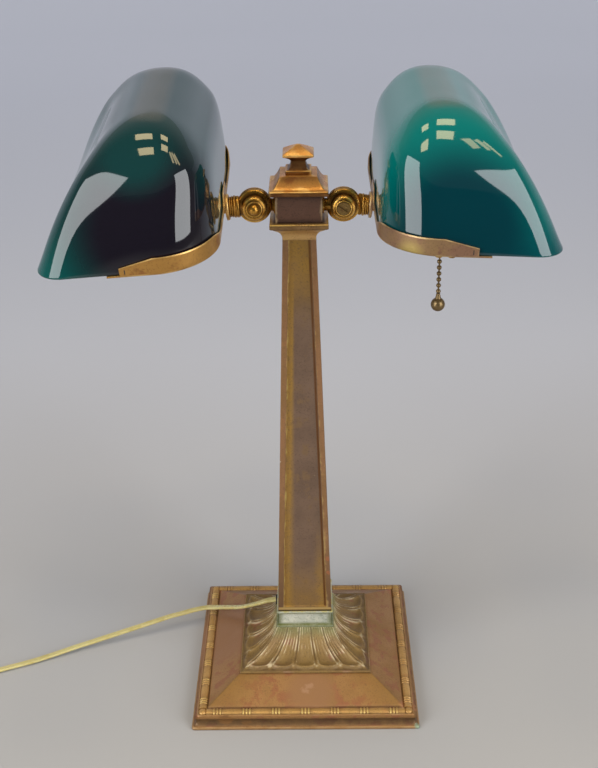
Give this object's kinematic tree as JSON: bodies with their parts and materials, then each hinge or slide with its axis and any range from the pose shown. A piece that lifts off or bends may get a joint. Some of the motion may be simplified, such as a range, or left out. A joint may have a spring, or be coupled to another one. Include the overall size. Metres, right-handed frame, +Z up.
{
  "type": "desk lamp",
  "caption": "Desk lamp with tilting green glass shades on swivel arms, a square panelled metal column on a moulded base, and bead pull chains.",
  "frame": {"origin": "middle of the square base's underside, on the table", "axes": "+Z up along the column, +X towards the right shade, -Y towards the viewer"},
  "size_m": [0.5513, 0.2139, 0.4838],
  "materials": {
    "felt": "felt",
    "bronze": "aged patina",
    "iron": "rough cast",
    "grey_bronze": "worn plating with green edges",
    "column_bronze": "aged patina",
    "dark_bronze": "dark patina",
    "gilt": "satin",
    "steel": "plain",
    "black_rubber": "matte",
    "cord_sheath": "satin",
    "swivel_brass": "polished and worn",
    "screw_brass": "worn",
    "fibre": "matte",
    "tie_fabric": "woven",
    "plug_brown": "gloss",
    "right_holder_brass": "dull, scratched",
    "left_holder_brass": "golden, worn",
    "right_shade_glass": "cased glass, gloss",
    "left_shade_glass": "cased glass, gloss",
    "socket_brass": "satin",
    "porcelain": "glazed",
    "bulb": "frosted",
    "chain_brass": "worn"
  },
  "bodies": {
    "stand": {"felt_pad": "felt", "base_shell": "bronze", "bead_moulding": "bronze", "base_weight": "iron", "leaf_skirt": "bronze", "foot_collar": "grey_bronze", "column": "column_bronze", "capital": "column_bronze", "head_box": "dark_bronze", "roof_cap": "gilt", "finial": "gilt", "tie_rod": "steel", "rod_nut": "steel", "rod_washer": "steel", "cord_bushing": "black_rubber", "riser_wires": "cord_sheath", "right_arm": "swivel_brass", "left_arm": "swivel_brass", "arm_nuts": "swivel_brass", "pivot_screws": "screw_brass", "pivot_nuts": "swivel_brass", "friction_washers": "fibre", "cord": "cord_sheath", "cord_coil": "cord_sheath", "cord_tie": "tie_fabric", "plug_body": "plug_brown", "plug_blades": "swivel_brass"},
    "right_swivel": {"right_knuckle": "swivel_brass", "right_neck_rings": "swivel_brass", "right_neck_nut": "swivel_brass"},
    "right_head": {"right_holder": "right_holder_brass", "right_shade": "right_shade_glass", "right_bracket": "socket_brass", "right_rivets": "socket_brass", "right_socket_cap": "socket_brass", "right_socket_nut": "socket_brass", "right_socket_shell": "socket_brass", "right_socket_core": "porcelain", "right_bulb_glass": "bulb", "right_bulb_cap": "socket_brass", "right_lead": "cord_sheath"},
    "right_switch": {"right_pull_stem": "chain_brass"},
    "right_pull_chain": {"right_chain": "chain_brass"},
    "left_swivel": {"left_knuckle": "swivel_brass", "left_neck_rings": "swivel_brass", "left_neck_nut": "swivel_brass"},
    "left_head": {"left_holder": "left_holder_brass", "left_shade": "left_shade_glass", "left_bracket": "socket_brass", "left_rivets": "socket_brass", "left_socket_cap": "socket_brass", "left_socket_nut": "socket_brass", "left_socket_shell": "socket_brass", "left_socket_core": "porcelain", "left_bulb_glass": "bulb", "left_bulb_cap": "socket_brass", "left_lead": "cord_sheath"},
    "left_switch": {"left_pull_stem": "chain_brass"},
    "left_pull_chain": {"left_chain": "chain_brass"}
  },
  "joints": [
    {"name": "right_tilt", "type": "hinge", "parent": "stand", "child": "right_swivel", "pos_m": [0.031, 0, 0.3972], "axis": [0, 1, 0], "range_deg": [-30, 30]},
    {"name": "right_turn", "type": "hinge", "parent": "right_swivel", "child": "right_head", "pos_m": [0.031, 0, 0.3972], "axis": [0.999, 0, -0.0436], "range_deg": [-15, 15]},
    {"name": "right_pull", "type": "slide", "parent": "right_head", "child": "right_switch", "axis": [-0.0436, 0.0175, -0.9989], "range_m": [0, 0.008], "stiffness_N_per_m": 250},
    {"name": "right_chain_swing", "type": "hinge", "parent": "right_switch", "child": "right_pull_chain", "pos_m": [0.092, -0.06903, 0.39593], "axis": [0, 1, 0], "range_deg": [-35, 35]},
    {"name": "left_tilt", "type": "hinge", "parent": "stand", "child": "left_swivel", "pos_m": [-0.031, 0, 0.3972], "axis": [0, -1, 0], "range_deg": [-30, 30]},
    {"name": "left_turn", "type": "hinge", "parent": "left_swivel", "child": "left_head", "pos_m": [-0.031, 0, 0.3972], "axis": [-0.9976, 0, -0.0698], "range_deg": [-15, 15]},
    {"name": "left_pull", "type": "slide", "parent": "left_head", "child": "left_switch", "axis": [0.0694, 0.0958, -0.993], "range_m": [0, 0.008], "stiffness_N_per_m": 250},
    {"name": "left_chain_swing", "type": "hinge", "parent": "left_switch", "child": "left_pull_chain", "pos_m": [-0.09249, 0.06843, 0.40212], "axis": [0, -1, 0], "range_deg": [-35, 35]}
  ]
}
